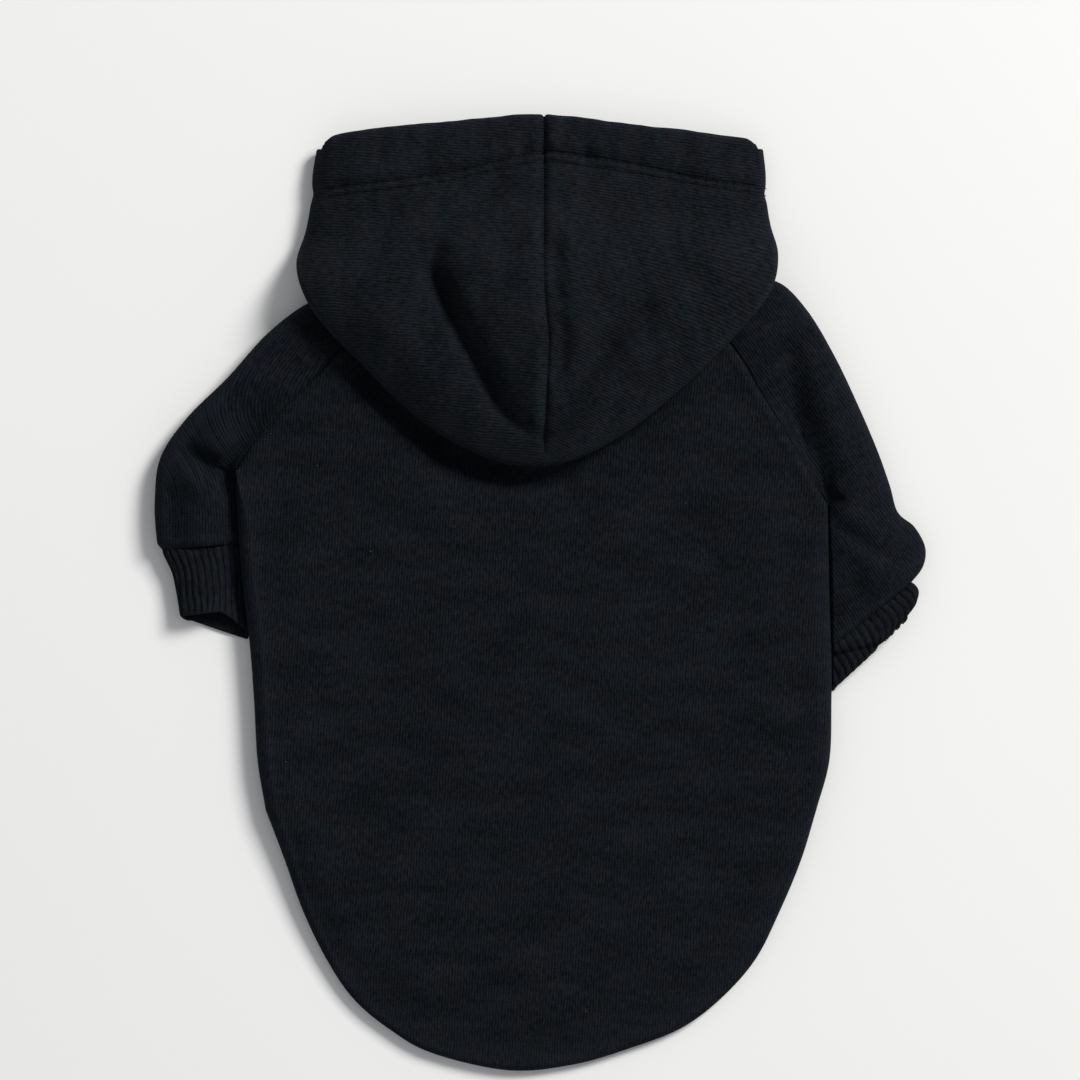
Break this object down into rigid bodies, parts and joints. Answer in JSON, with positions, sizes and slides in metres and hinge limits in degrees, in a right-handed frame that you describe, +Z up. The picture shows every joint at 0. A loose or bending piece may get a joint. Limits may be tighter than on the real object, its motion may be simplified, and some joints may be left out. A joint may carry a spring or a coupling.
{
  "type": "dog hoodie",
  "caption": "Dog hoodie in black fleece, lying flat with its back up: raglan sleeves with ribbed cuffs, round tail hem, hood folded down over the back",
  "frame": {"origin": "on the table, below the middle of the garment's box", "axes": "+Z up off the table, +Y towards the head end, +X to the right in the picture"},
  "size_m": [0.3859, 0.4788, 0.0379],
  "materials": {
    "body_fleece": "matt brushed fleece, heathered black",
    "sleeve_fleece": "matt brushed fleece, heathered black",
    "hood_fleece": "matt brushed fleece, heathered black",
    "rib_knit": "matt ribbed knit, black"
  },
  "bodies": {
    "root": {"back_panel": "body_fleece", "belly_panel": "body_fleece", "sleeve_left": "sleeve_fleece", "sleeve_right": "sleeve_fleece", "cuff_left": "rib_knit", "cuff_right": "rib_knit", "hood_left": "hood_fleece", "hood_right": "hood_fleece"}
  },
  "joints": []
}
